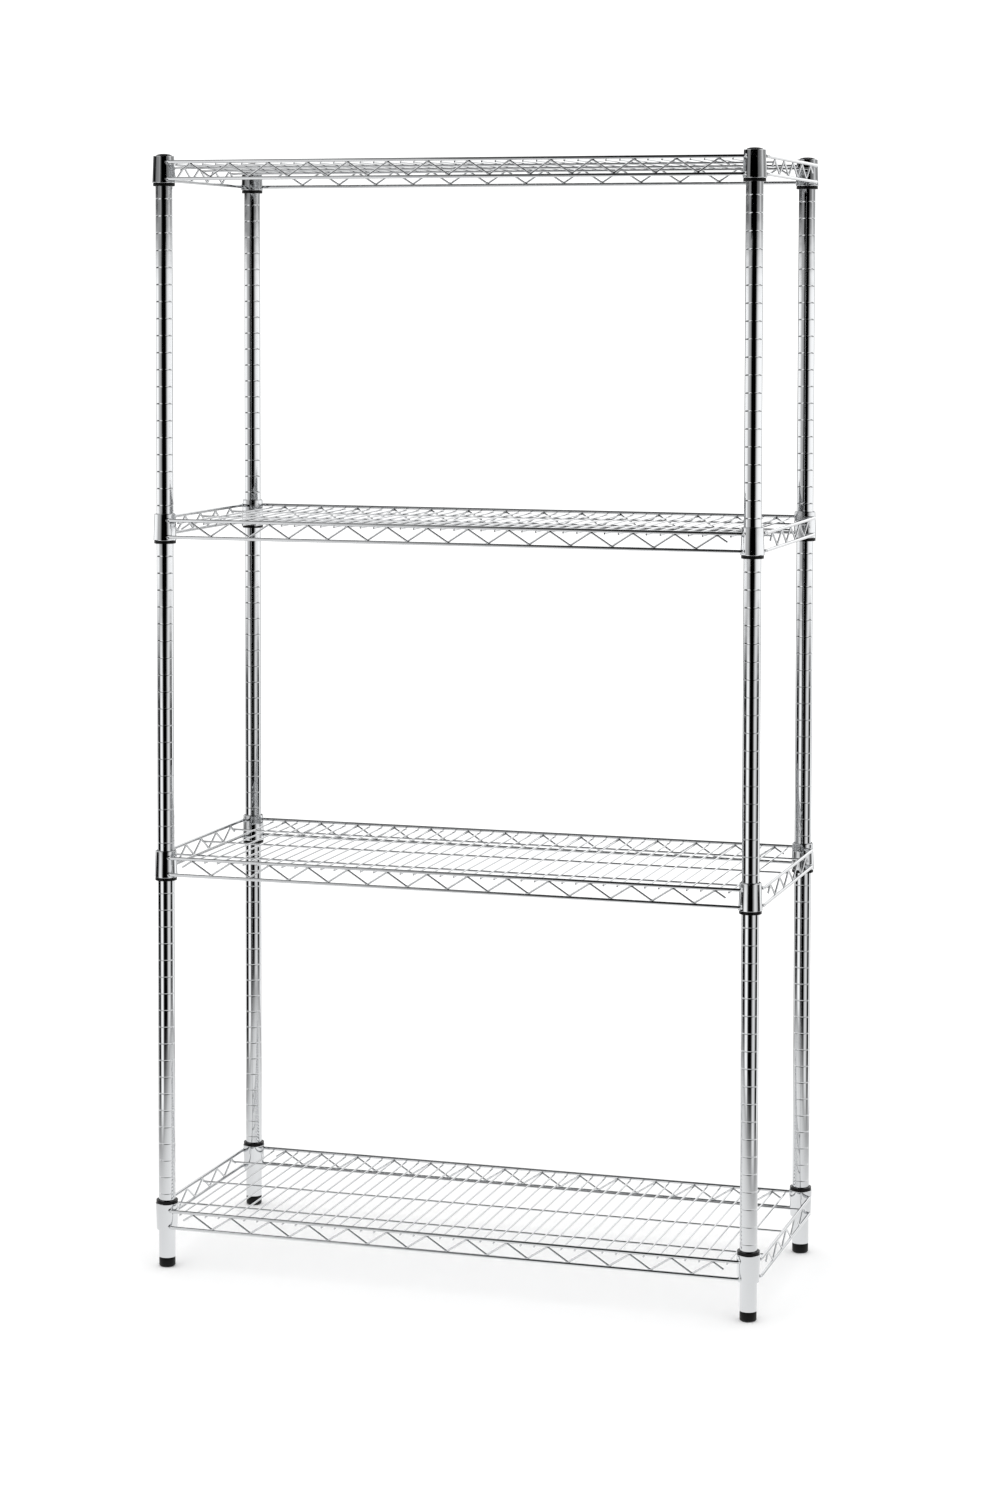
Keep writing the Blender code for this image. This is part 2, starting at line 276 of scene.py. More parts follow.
class Shape:
    """Vertices and faces collected from several closed shells."""

    def __init__(self):
        self.verts = []
        self.faces = []

    def add_rings(self, rings, closed=False):
        """Joins rings of equally many points. A closed row joins its last ring to its first."""
        first = len(self.verts)
        count = len(rings[0])
        for ring in rings:
            self.verts += [tuple(point) for point in ring]
        total = len(rings)
        for row in range(total if closed else total - 1):
            here = first + row * count
            there = first + (row + 1) % total * count
            for k in range(count):
                nxt = (k + 1) % count
                self.faces.append((here + k, here + nxt, there + nxt, there + k))
        if not closed:
            self.faces.append(tuple(first + k for k in reversed(range(count))))
            last = first + (total - 1) * count
            self.faces.append(tuple(last + k for k in range(count)))

    def add_wire(self, path, radius, normal, sides):
        """A round wire along a path that lies in the plane of the given normal."""
        path = [Vector(point) for point in path]
        normal = Vector(normal).normalized()
        last = len(path) - 1
        stations = []
        for k, point in enumerate(path):
            ahead = path[min(k + 1, last)] - path[max(k - 1, 0)]
            stations.append((point, ahead.normalized(), radius))
        start, start_way, _ = stations[0]
        end, end_way, _ = stations[-1]
        stations[0] = (start + start_way * WIRE_CHAMFER, start_way, radius)
        stations.insert(0, (start, start_way, radius - WIRE_CHAMFER))
        stations[-1] = (end - end_way * WIRE_CHAMFER, end_way, radius)
        stations.append((end, end_way, radius - WIRE_CHAMFER))
        rings = []
        for point, way, size in stations:
            side = way.cross(normal)
            ring = []
            for k in range(sides):
                angle = TURN * k / sides
                ring.append(point + size * (math.cos(angle) * normal + math.sin(angle) * side))
            rings.append(ring)
        self.add_rings(rings)

    def add_bead(self, centre, axes, fineness=SMALL_BEAD):
        """A lump of weld: an ellipsoid with the given three half-axes, as vectors."""
        rings, sides = fineness
        centre = Vector(centre)
        first, second, third = (Vector(axis) for axis in axes)
        rows = []
        for row in range(rings):
            tilt = math.pi * (row + 0.5) / rings
            ring = []
            for k in range(sides):
                angle = TURN * k / sides
                flat = math.cos(angle) * first + math.sin(angle) * second
                ring.append(centre + math.sin(tilt) * flat - math.cos(tilt) * third)
            rows.append(ring)
        self.add_rings(rows)

    def add_turned(self, profile, sides=POST_SIDES, closed=True, centre=(0, 0), slit=0.0):
        """Turns a profile of (radius, height) points about an upright axis.

        A closed profile is a loop. An open one starts and ends on the axis. A slit leaves
        out that angle round +Y.
        """
        base = len(self.verts)
        count = len(profile)
        columns = sides + 1 if slit else sides
        for column in range(columns):
            angle = math.pi / 2 + slit / 2 + (TURN - slit) * column / sides
            for radius, height in profile:
                x = centre[0] + radius * math.cos(angle)
                y = centre[1] + radius * math.sin(angle)
                self.verts.append((x, y, height))
        for column in range(sides):
            here = base + column * count
            there = base + (column + 1) % columns * count
            for k in range(count if closed else count - 1):
                nxt = (k + 1) % count
                self.faces.append((here + k, here + nxt, there + nxt, there + k))
        if slit:
            self.faces.append(tuple(base + k for k in reversed(range(count))))
            self.faces.append(tuple(base + sides * count + k for k in range(count)))

    def mesh(self, name, material):
        """One mesh of all the shells, with its faces pointing out."""
        made = bpy.data.meshes.new(name)
        made.from_pydata(self.verts, [], self.faces)
        work = bmesh.new()
        work.from_mesh(made)
        bmesh.ops.remove_doubles(work, verts=work.verts, dist=MERGE_DISTANCE)
        bmesh.ops.recalc_face_normals(work, faces=work.faces)
        work.to_mesh(made)
        work.free()
        made.shade_smooth()
        made.set_sharp_from_angle(angle=math.radians(SHARP_ANGLE))
        made.materials.append(material)
        return made


def rounded(points, radius, steps, closed=False):
    """The path with its corners replaced by arcs of the given radius."""
    points = [Vector(point) for point in points]
    count = len(points)
    path = []
    for k, corner in enumerate(points):
        if not closed and k in (0, count - 1):
            path.append(corner)
            continue
        back = (points[k - 1] - corner).normalized()
        ahead = (points[(k + 1) % count] - corner).normalized()
        half = back.angle(ahead) / 2
        if half > math.radians(NEARLY_STRAIGHT):
            path.append(corner)
            continue
        middle = corner + (back + ahead).normalized() * radius / math.sin(half)
        start = corner + back * radius / math.tan(half) - middle
        end = corner + ahead * radius / math.tan(half) - middle
        for step in range(steps + 1):
            path.append(middle + start.slerp(end, step / steps).normalized() * radius)
    return path


def rounded_profile(profile, radius):
    """A closed profile of (radius, height) points with its corners rounded."""
    points = rounded([(r, z, 0) for r, z in profile], radius, PROFILE_STEPS, True)
    return [(point.x, point.y) for point in points]


def supported(profile):
    """A closed profile with a point near each end of its long lines, which keeps them flat."""
    points = []
    for k, here in enumerate(profile):
        ahead = profile[(k + 1) % len(profile)]
        length = math.dist(here, ahead)
        points.append(here)
        if length > LONG_LINE:
            for share in (SUPPORT / length, 1 - SUPPORT / length):
                points.append(tuple(a + (b - a) * share for a, b in zip(here, ahead)))
    return points


def corner_of(name):
    """Where the middle of a post is, from the frame."""
    low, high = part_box("post_" + name)
    return ((low.x + high.x) / 2, (low.y + high.y) / 2)


def post_mesh(material):
    """A tube with a rolled groove at every inch, in heights above the floor."""
    low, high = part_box("post_front_left")
    bottom, top = low.z, high.z
    outer = [(POST_RADIUS - POST_LIP, bottom), (POST_RADIUS, bottom + POST_LIP)]
    height = FIRST_GROOVE
    while height < top - GROOVE_PITCH / 4:
        for offset, depth in GROOVE_SHAPE:
            rung = height + offset * GROOVE_HALF_WIDTH
            outer.append((POST_RADIUS - depth * GROOVE_DEPTH, rung))
        height += GROOVE_PITCH
    outer += [(POST_RADIUS, top - POST_LIP), (POST_RADIUS - POST_LIP, top)]
    bore = POST_RADIUS - POST_WALL
    shape = Shape()
    shape.add_turned(outer + [(bore, top), (bore, bottom)])
    return shape.mesh("Post", material)


def sleeve_mesh(material):
    """A split tapered sleeve, lip down, with the middle of its lip at height 0."""
    bore = POST_RADIUS + CLEARANCE
    narrow = COLLAR_NARROW_RADIUS - COLLAR_WALL - CLEARANCE
    wide = COLLAR_WIDE_RADIUS - COLLAR_WALL - CLEARANCE
    half = LIP_HEIGHT / 2
    rib_half = GROOVE_HALF_WIDTH
    rib_tip = POST_RADIUS - GROOVE_DEPTH + CLEARANCE
    body = [
        (narrow, half + SLEEVE_LENGTH),
        (wide, half),
        (LIP_RADIUS, half),
        (LIP_RADIUS, -half),
        (bore, -half),
        (bore, LIP_TO_GROOVE - rib_half),
        (rib_tip, LIP_TO_GROOVE),
        (bore, LIP_TO_GROOVE + rib_half),
        (bore, half + SLEEVE_LENGTH),
    ]
    shape = Shape()
    slit = SLEEVE_SLIT / LIP_RADIUS
    shape.add_turned(supported(rounded_profile(body, SLEEVE_ROUNDING)), slit=slit)
    return shape.mesh("Sleeve", material)


def collar_radius(drop, wide_end_up):
    """The outer radius of a collar, that far under its top."""
    share = drop / COLLAR_HEIGHT
    if wide_end_up:
        share = 1 - share
    return COLLAR_NARROW_RADIUS + (COLLAR_WIDE_RADIUS - COLLAR_NARROW_RADIUS) * share


def add_collar(shape, centre, wide_end_up):
    """A tapered collar, with its top at height 0."""
    top = collar_radius(0, wide_end_up)
    bottom = collar_radius(COLLAR_HEIGHT, wide_end_up)
    outline = [
        (top, 0),
        (bottom, -COLLAR_HEIGHT),
        (bottom - COLLAR_WALL, -COLLAR_HEIGHT),
        (top - COLLAR_WALL, 0),
    ]
    shape.add_turned(supported(rounded_profile(outline, COLLAR_ROUNDING)), centre=centre)


def snake_path(peaks):
    """The zigzag wire between two rails, as (distance along, height) points."""
    high = -RAIL_DROP - SNAKE_TO_RAIL
    low = -RAIL_DROP - RAIL_SPACING + SNAKE_TO_RAIL
    half = SNAKE_PERIOD / 2
    spread = math.atan2(half, high - low)
    over = SNAKE_BEND * (1 / math.sin(spread) - 1)
    start = -(peaks - 1) * half
    middle = (high + low) / 2
    points = [(start - half / 2, middle, 0)]
    for number in range(2 * peaks - 1):
        height = low - over if number % 2 else high + over
        points.append((start + number * half, height, 0))
    points.append((-points[0][0], middle, 0))
    return [(point.x, point.y) for point in rounded(points, SNAKE_BEND, SNAKE_STEPS)]


def snake_peaks(peaks):
    """(distance along, whether it is an upper one) of every bend of the zigzag."""
    start = -(peaks - 1) * SNAKE_PERIOD / 2
    return [(start + n * SNAKE_PERIOD / 2, n % 2 == 0) for n in range(2 * peaks - 1)]


def snake_weld_height(upper):
    """Where a bend of the zigzag is welded to its rail."""
    if upper:
        return -RAIL_DROP - RAIL_RADIUS
    return -RAIL_DROP - RAIL_SPACING + RAIL_RADIUS


def rail_drops():
    """How far the two rails are under the top of the collars."""
    return (RAIL_DROP, RAIL_DROP + RAIL_SPACING)


def add_rail_weld(shape, spot, way, size):
    """The weld between a rail's end and a collar. Way is the level direction through it."""
    across, up, through = size
    sideways = way.cross(Vector((0, 0, 1)))
    shape.add_bead(spot, (sideways * across, Vector((0, 0, up)), way * through), LARGE_BEAD)


def truss_mesh(post_x, wide_end_up, facing, material):
    """A front truss (facing -1) or a back one (facing 1), centred on its own plane."""
    shape = Shape()
    sine = math.sin(math.radians(FRONT_RAIL_LEAN))
    cosine = math.cos(math.radians(FRONT_RAIL_LEAN))
    for drop in rail_drops():
        reach = collar_radius(drop, wide_end_up) - FRONT_RAIL_SINK
        end_x = post_x - reach * sine
        end_y = facing * (reach * cosine - FRONT_OFFSET)
        bend_x = end_x - FRONT_RAIL_TURN
        path = [
            (-end_x, end_y, -drop),
            (-bend_x, 0, -drop),
            (bend_x, 0, -drop),
            (end_x, end_y, -drop),
        ]
        path = rounded(path, FRONT_RAIL_BEND, RAIL_STEPS)
        shape.add_wire(path, RAIL_RADIUS, (0, 0, 1), RAIL_SIDES)
        for side in (-1, 1):
            toward = Vector((side * sine, -facing * cosine, 0))
            spot = Vector((side * end_x, end_y, -drop)) - toward * FRONT_WELD_SINK
            add_rail_weld(shape, spot, toward, FRONT_WELD)
    path = [(x, 0, z) for x, z in snake_path(FRONT_PEAKS)]
    shape.add_wire(path, SNAKE_RADIUS, (0, 1, 0), WIRE_SIDES)
    along, across, through = SNAKE_WELD
    for x, upper in snake_peaks(FRONT_PEAKS):
        spot = (x, 0, snake_weld_height(upper))
        shape.add_bead(spot, ((along, 0, 0), (0, across, 0), (0, 0, through)))
    return shape.mesh("Truss", material)


def end_mesh(post_x, post_y, wide_end_up, material):
    """A right-hand end: a truss along Y with the two corner collars it joins."""
    shape = Shape()
    plane = post_x + END_OFFSET
    for side in (-1, 1):
        add_collar(shape, (post_x, side * post_y), wide_end_up)
    sine = math.sin(math.radians(END_RAIL_LEAN))
    cosine = math.cos(math.radians(END_RAIL_LEAN))
    for drop in rail_drops():
        reach = collar_radius(drop, wide_end_up) - END_RAIL_SINK
        end_x = post_x + reach * cosine
        end_y = post_y - reach * sine
        bend_y = end_y - END_RAIL_TURN
        path = [
            (end_x, -end_y, -drop),
            (plane, -bend_y, -drop),
            (plane, bend_y, -drop),
            (end_x, end_y, -drop),
        ]
        path = rounded(path, END_RAIL_BEND, RAIL_STEPS)
        shape.add_wire(path, RAIL_RADIUS, (0, 0, 1), RAIL_SIDES)
        for side in (-1, 1):
            outward = Vector((cosine, -side * sine, 0))
            spot = Vector((end_x, side * end_y, -drop)) - outward * END_WELD_SINK
            add_rail_weld(shape, spot, outward, END_WELD)
    path = [(plane, y, z) for y, z in snake_path(END_PEAKS)]
    shape.add_wire(path, SNAKE_RADIUS, (1, 0, 0), WIRE_SIDES)
    along, across, through = SNAKE_WELD
    for y, upper in snake_peaks(END_PEAKS):
        spot = (plane, y, snake_weld_height(upper))
        shape.add_bead(spot, ((0, along, 0), (across, 0, 0), (0, 0, through)))
    return shape.mesh("End", material)


def deck_mesh(post_x, post_y, material):
    """The wire mat: wires from front to back that lie on three runners."""
    shape = Shape()
    front = post_y + FRONT_OFFSET
    runner_half = post_x + END_OFFSET - SNAKE_RADIUS
    peaks = [x for x, upper in snake_peaks(FRONT_PEAKS) if upper]
    for y in RUNNER_OFFSETS:
        path = [(-runner_half, y, RUNNER_Z), (runner_half, y, RUNNER_Z)]
        shape.add_wire(path, SNAKE_RADIUS, (0, 0, 1), WIRE_SIDES)
    across, along, through = DECK_WELD
    between = (DECK_WIRE_Z + RUNNER_Z) / 2
    for number in range(DECK_WIRES):
        x = (number - (DECK_WIRES - 1) / 2) * DECK_PITCH
        at_peak = min(abs(x - peak) for peak in peaks) < DECK_WIRE_RADIUS
        half = front - SNAKE_RADIUS if at_peak else front + DECK_WIRE_OVERHANG
        path = [(x, -half, DECK_WIRE_Z), (x, half, DECK_WIRE_Z)]
        shape.add_wire(path, DECK_WIRE_RADIUS, (0, 0, 1), WIRE_SIDES)
        for y in RUNNER_OFFSETS:
            shape.add_bead((x, y, between), ((across, 0, 0), (0, along, 0), (0, 0, through)))
    return shape.mesh("Deck", material)


def stem_rings():
    """Rings of the foot's threaded stem, from inside the foot's head to the stem's tip."""
    bottom = FOOT_SHOULDER - STEM_OVERLAP
    length = STEM_TOP - bottom
    rows = int(length / (THREAD_PITCH / THREAD_STEPS))
    rings = []
    for row in range(rows + 1):
        height = bottom + length * row / rows
        run_out = (height - STEM_TOP + THREAD_PITCH) / THREAD_PITCH
        ring = []
        for k in range(STEM_SIDES):
            turn = (height / THREAD_PITCH - k / STEM_SIDES) % 1.0
            radius = STEM_RADIUS - THREAD_DEPTH * max(abs(2 * turn - 1), run_out)
            angle = TURN * k / STEM_SIDES
            ring.append((radius * math.cos(angle), radius * math.sin(angle), height))
        rings.append(ring)
    return rings


def foot_mesh(material):
    """A levelling foot standing on height 0, with its threaded stem."""
    inside = POST_RADIUS - POST_WALL - FOOT_CLEARANCE
    edge = FOOT_EDGE
    head = [
        (0, 0),
        (FOOT_RADIUS - FOOT_CHAMFER - 2 * edge, 0),
        (FOOT_RADIUS - FOOT_CHAMFER, edge),
        (FOOT_RADIUS - edge, FOOT_CHAMFER),
        (FOOT_RADIUS, FOOT_CHAMFER + 3 * edge),
        (FOOT_RADIUS, FOOT_SEAT - 6 * edge),
        (FOOT_RADIUS - edge, FOOT_SEAT - 3 * edge),
        (FOOT_RADIUS - 3.5 * edge, FOOT_SEAT),
        (inside, FOOT_SEAT + edge),
        (inside, FOOT_SHOULDER - FOOT_LEAD_IN),
        (inside - FOOT_LEAD_IN, FOOT_SHOULDER),
        (0, FOOT_SHOULDER),
    ]
    shape = Shape()
    shape.add_turned(head, closed=False)
    shape.add_rings(stem_rings())
    return shape.mesh("Foot", material)


def insert_mesh(material):
    """The threaded plug inside a post's lower end."""
    rim = POST_RADIUS - POST_WALL - CLEARANCE
    bore = STEM_RADIUS + CLEARANCE
    outline = [(rim, INSERT_TOP), (rim, INSERT_BOTTOM), (bore, INSERT_BOTTOM), (bore, INSERT_TOP)]
    shape = Shape()
    shape.add_turned(rounded_profile(outline, INSERT_ROUNDING))
    return shape.mesh("Insert", material)


def cap_mesh(material):
    """The domed plug in a post's upper end, with its rim's underside at height 0."""
    plug = POST_RADIUS - POST_WALL - CLEARANCE
    profile = [(0, CAP_DOME)]
    for step in range(1, CAP_DOME_STEPS + 1):
        angle = math.radians(CAP_DOME_SPAN) * step / CAP_DOME_STEPS
        rise = (CAP_DOME - CAP_RIM) * math.cos(angle)
        profile.append((CAP_DOME_RADIUS * math.sin(angle), CAP_RIM + rise))
    profile += [
        (POST_RADIUS, CAP_RIM),
        (POST_RADIUS, CAP_EDGE),
        (POST_RADIUS - CAP_EDGE, 0),
        (plug, 0),
        (plug, 2 * CAP_EDGE - CAP_PLUG),
        (plug - 2 * CAP_EDGE, -CAP_PLUG),
        (0, -CAP_PLUG),
    ]
    shape = Shape()
    shape.add_turned(profile, closed=False)
    return shape.mesh("Cap", material)


def new_node(tree, kind, settings=None, inputs=None):
    """Adds a shader node. An input given as a socket is linked, and any other is set."""
    made = tree.nodes.new(kind)
    for key, value in (settings or {}).items():
        setattr(made, key, value)
    for key, value in (inputs or {}).items():
        if isinstance(value, bpy.types.NodeSocket):
            tree.links.new(value, made.inputs[key])
        else:
            made.inputs[key].default_value = value
    return made


def math_node(tree, operation, first, second=0.0, clamp=False):
    """The result of an operation on one or two values, each of them a number or a socket."""
    settings = {"operation": operation, "use_clamp": clamp}
    return new_node(tree, "ShaderNodeMath", settings, {0: first, 1: second}).outputs[0]


def smooth_step(tree, value, low, high, start=0.0, end=1.0):
    """A value that eases from start to end as the given one goes from low to high."""
    made = new_node(
        tree,
        "ShaderNodeMapRange",
        {"interpolation_type": "SMOOTHSTEP"},
        {"Value": value, "From Min": low, "From Max": high, "To Min": start, "To Max": end},
    )
    return made.outputs["Result"]


def blend_values(tree, share, first, second):
    """The value that goes from first to second as share goes from 0 to 1."""
    inputs = {"Factor": share, "A": first, "B": second}
    return new_node(tree, "ShaderNodeMix", {"data_type": "FLOAT"}, inputs).outputs["Result"]


def blend_colours(tree, share, first, second):
    """The colour that goes from first to second as share goes from 0 to 1."""
    made = new_node(tree, "ShaderNodeMix", {"data_type": "RGBA"}, {"Factor": share})
    sockets = [socket for socket in made.inputs if socket.type == "RGBA"]
    sockets[0].default_value = (*first, 1.0)
    sockets[1].default_value = (*second, 1.0)
    return [socket for socket in made.outputs if socket.type == "RGBA"][0]


def piece_noise(tree, scale, stretch=(1, 1, 1), detail=3.0, roughness=0.5):
    """Noise fixed to the piece, different on each piece, with lengths in metres."""
    place = new_node(tree, "ShaderNodeTexCoord").outputs["Object"]
    spread = new_node(tree, "ShaderNodeMapping", inputs={"Vector": place, "Scale": stretch})
    own = new_node(tree, "ShaderNodeObjectInfo").outputs["Random"]
    inputs = {
        "Vector": spread.outputs[0],
        "W": math_node(tree, "MULTIPLY", own, NOISE_SPREAD),
        "Scale": scale,
        "Detail": detail,
        "Roughness": roughness,
    }
    made = new_node(tree, "ShaderNodeTexNoise", {"noise_dimensions": "4D"}, inputs)
    return made.outputs["Fac"]


def empty_tree(owner):
    """The node tree of a new material or world, with nothing in it yet."""
    owner.use_nodes = True
    owner.node_tree.nodes.clear()
    return owner.node_tree


def start_material(name):
    """A material with one shader, which is still to be given its colours and so on."""
    material = bpy.data.materials.new(name)
    tree = empty_tree(material)
    shader = new_node(tree, "ShaderNodeBsdfPrincipled")
    new_node(tree, "ShaderNodeOutputMaterial", inputs={"Surface": shader.outputs[0]})
    return material, tree, shader


def add_bump(tree, height, strength, depth, more=None):
    """The direction a surface faces once the given height is pressed into it."""
    inputs = {"Strength": strength, "Distance": depth, "Height": height, **(more or {})}
    return new_node(tree, "ShaderNodeBump", inputs=inputs).outputs[0]


def chrome_material(name, smooth, hazy, scratch_stretch, ripple):
    """Bright chrome plate with faint haze, rubbed scratches and a slightly uneven surface."""
    material, tree, shader = start_material(name)
    haze = smooth_step(tree, piece_noise(tree, **HAZE_NOISE), *HAZE_RANGE)
    rub_noise = piece_noise(tree, stretch=scratch_stretch, **RUB_NOISE)
    rubbed = smooth_step(tree, rub_noise, *RUB_RANGE)
    worn = math_node(tree, "MAXIMUM", haze, math_node(tree, "MULTIPLY", rubbed, RUB_SHARE), True)
    grime = smooth_step(tree, piece_noise(tree, **GRIME_NOISE), *GRIME_RANGE)
    grimy = tuple(GRIME_SHADE * channel for channel in CHROME_COLOUR)
    colour = blend_colours(tree, grime, CHROME_COLOUR, grimy)
    tree.links.new(colour, shader.inputs["Base Color"])
    tree.links.new(blend_values(tree, worn, smooth, hazy), shader.inputs["Roughness"])
    shader.inputs["Metallic"].default_value = 1.0
    wave = piece_noise(tree, **RIPPLE_NOISE)
    uneven = add_bump(tree, wave, ripple, RIPPLE_DEPTH)
    scratched = add_bump(tree, rubbed, RUB_STRENGTH, RUB_DEPTH, {"Normal": uneven})
    tree.links.new(scratched, shader.inputs["Normal"])
    return material


def plastic_material(name, shade, roughness, grain, scuff_shade):
    """Moulded black plastic with a fine grain and paler scuffs."""
    material, tree, shader = start_material(name)
    speckle = piece_noise(tree, **GRAIN_NOISE)
    scuffs = smooth_step(tree, piece_noise(tree, **SCUFF_NOISE), *SCUFF_RANGE)
    colour = blend_colours(tree, scuffs, 3 * (shade,), 3 * (scuff_shade,))
    tree.links.new(colour, shader.inputs["Base Color"])
    smoothest, roughest = (roughness + change for change in CLOUD_ROUGHNESS)
    cloud_noise = piece_noise(tree, **CLOUD_NOISE)
    cloud = smooth_step(tree, cloud_noise, *CLOUD_RANGE, smoothest, roughest)
    scuffed = math_node(tree, "MULTIPLY", scuffs, SCUFF_ROUGHNESS)
    tree.links.new(math_node(tree, "ADD", cloud, scuffed), shader.inputs["Roughness"])
    tree.links.new(add_bump(tree, speckle, grain, GRAIN_DEPTH), shader.inputs["Normal"])
    shader.inputs["Specular IOR Level"].default_value = PLASTIC_SHINE
    return material


def new_ramp(tree, share, stops):
    """A grey for each share from 0 to 1, from (share, brightness) stops."""
    made = new_node(tree, "ShaderNodeValToRGB", inputs={"Fac": share})
    ramp = made.color_ramp
    ramp.interpolation = "LINEAR"
    while len(ramp.elements) < len(stops):
        ramp.elements.new(0.5)
    for element, (position, value) in zip(ramp.elements, stops):
        element.position = position
        element.color = (value, value, value, 1.0)
    return made.outputs["Color"]


def band_ramp(tree, share, stops):
    """Brightness round the rack. Share is 0 and 1 at the back and 0.5 at the front."""
    return new_ramp(tree, share, [(0.5 + direction / 360, value) for direction, value in stops])


def build_studio():
    """A world that lights evenly, and that is reflected as a studio with dark gaps."""
    world = bpy.data.worlds.new("Studio")
    bpy.context.scene.world = world
    world.cycles.sampling_method = "NONE"
    tree = empty_tree(world)
    ray = new_node(tree, "ShaderNodeTexCoord").outputs["Generated"]
    split = new_node(tree, "ShaderNodeSeparateXYZ", inputs={"Vector": ray}).outputs
    forward = math_node(tree, "MULTIPLY", split["Y"], -1.0)
    turn = math_node(tree, "ARCTAN2", split["X"], forward)
    share = math_node(tree, "ADD", math_node(tree, "DIVIDE", turn, TURN), 0.5)
    rise = math_node(tree, "DEGREES", math_node(tree, "ARCSINE", split["Z"]))
    value = band_ramp(tree, share, LOW_BAND)
    for edges, stops in BANDS:
        taken_over = smooth_step(tree, rise, *edges)
        value = blend_values(tree, taken_over, value, band_ramp(tree, share, stops))
    value = blend_values(tree, smooth_step(tree, rise, *HIGH_TO_CEILING), value, CEILING)
    reflected = math_node(tree, "MULTIPLY", value, STUDIO_GAIN)
    glossy = new_node(tree, "ShaderNodeLightPath").outputs["Is Glossy Ray"]
    light = blend_values(tree, glossy, DIFFUSE_LIGHT, reflected)
    white = (1.0, 1.0, 1.0, 1.0)
    background = new_node(tree, "ShaderNodeBackground", inputs={"Color": white, "Strength": light})
    new_node(tree, "ShaderNodeOutputWorld", inputs={"Surface": background.outputs[0]})


def add_sheet(name, outline, material):
    """A flat stage piece, from its outline's points."""
    mesh = bpy.data.meshes.new(name)
    mesh.from_pydata(outline, [], [tuple(range(len(outline)))])
    mesh.materials.append(material)
    sheet = bpy.data.objects.new(name, mesh)
    bpy.context.scene.collection.objects.link(sheet)
    return sheet


def show_in_reflections_only(sheet):
    """Hides a stage piece from the camera and from diffuse light, and takes its shadow away."""
    sheet.visible_camera = False
    sheet.visible_diffuse = False
    sheet.visible_shadow = False


def floor_material():
    """Matt white paper, with hardly any mottling."""
    material, tree, shader = start_material("Pale floor")
    speckle = piece_noise(tree, **FLOOR_NOISE)
    darker = tuple(FLOOR_SHADE * channel for channel in FLOOR_COLOUR)
    tree.links.new(blend_colours(tree, speckle, FLOOR_COLOUR, darker), shader.inputs["Base Color"])
    shader.inputs["Roughness"].default_value = FLOOR_ROUGHNESS
    shader.inputs["Specular IOR Level"].default_value = 0.0
    return material


def pool_material():
    """A glowing disc under the rack that shows only in reflections: a painted pool of light on the
    floor, whose brightness fades out with distance.
    """
    material = bpy.data.materials.new("Light pool")
    tree = empty_tree(material)
    place = new_node(tree, "ShaderNodeTexCoord").outputs["Object"]
    away = new_node(tree, "ShaderNodeVectorMath", {"operation": "LENGTH"}, {0: place})
    distance = away.outputs["Value"]
    share = math_node(tree, "DIVIDE", distance, POOL_RADIUS, True)
    ramp = new_ramp(tree, share, [(stop / POOL_RADIUS, value) for stop, value in POOL_STOPS])
    glow = new_node(tree, "ShaderNodeEmission", inputs={"Color": ramp, "Strength": STUDIO_GAIN})
    through = smooth_step(tree, distance, *POOL_EDGE)
    clear = new_node(tree, "ShaderNodeBsdfTransparent", inputs={"Color": through})
    both = new_node(tree, "ShaderNodeAddShader", inputs={0: glow.outputs[0], 1: clear.outputs[0]})
    new_node(tree, "ShaderNodeOutputMaterial", inputs={"Surface": both.outputs[0]})
    return material


def flag_material():
    """A black card that gives off no light and reflects nothing: the painted dark reflection in
    front of the rack.
    """
    material = bpy.data.materials.new("Black card")
    tree = empty_tree(material)
    dark = new_node(tree, "ShaderNodeEmission", inputs={"Color": (0.0, 0.0, 0.0, 1.0)})
    new_node(tree, "ShaderNodeOutputMaterial", inputs={"Surface": dark.outputs[0]})
    return material


def disc_outline(radius, height):
    """The points round a level disc."""
    angles = [TURN * k / DISC_SIDES for k in range(DISC_SIDES)]
    return [(radius * math.cos(angle), radius * math.sin(angle), height) for angle in angles]


def build_floor():
    """The floor, and what shows only in reflections: a painted pool of light and a black card for
    a painted dark reflection.
    """
    seen = add_sheet("floor", disc_outline(FLOOR_RADIUS, 0.0), floor_material())
    seen.visible_glossy = False
    pool = add_sheet("floor_reflected", disc_outline(POOL_RADIUS, POOL_HEIGHT), pool_material())
    show_in_reflections_only(pool)
    (left, front, low), (right, _, high) = FLAG
    outline = [(left, front, low), (right, front, low), (right, front, high), (left, front, high)]
    show_in_reflections_only(add_sheet("black_card", outline, flag_material()))


def build_camera():
    """The camera at the photograph's viewing angle."""
    data = bpy.data.cameras.new("Camera")
    data.sensor_width = CAMERA_SENSOR
    data.lens = CAMERA_LENS
    data.shift_y = CAMERA_SHIFT_Y
    camera = bpy.data.objects.new("Camera", data)
    bpy.context.scene.collection.objects.link(camera)
    camera.location = CAMERA_PLACE
    turn = (90 + CAMERA_PITCH, CAMERA_ROLL, CAMERA_YAW)
    camera.rotation_euler = tuple(math.radians(angle) for angle in turn)
    bpy.context.scene.camera = camera


def add_piece(node, mesh, location, turn=(0, 0, 0)):
    """Puts a fine mesh in place of a CAD node, on the node's own body."""
    piece = bpy.data.objects.new("fine_" + node, mesh)
    bpy.context.scene.collection.objects.link(piece)
    piece.location = location
    piece.rotation_euler = turn
    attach(piece, body_of[node])
    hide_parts(node)


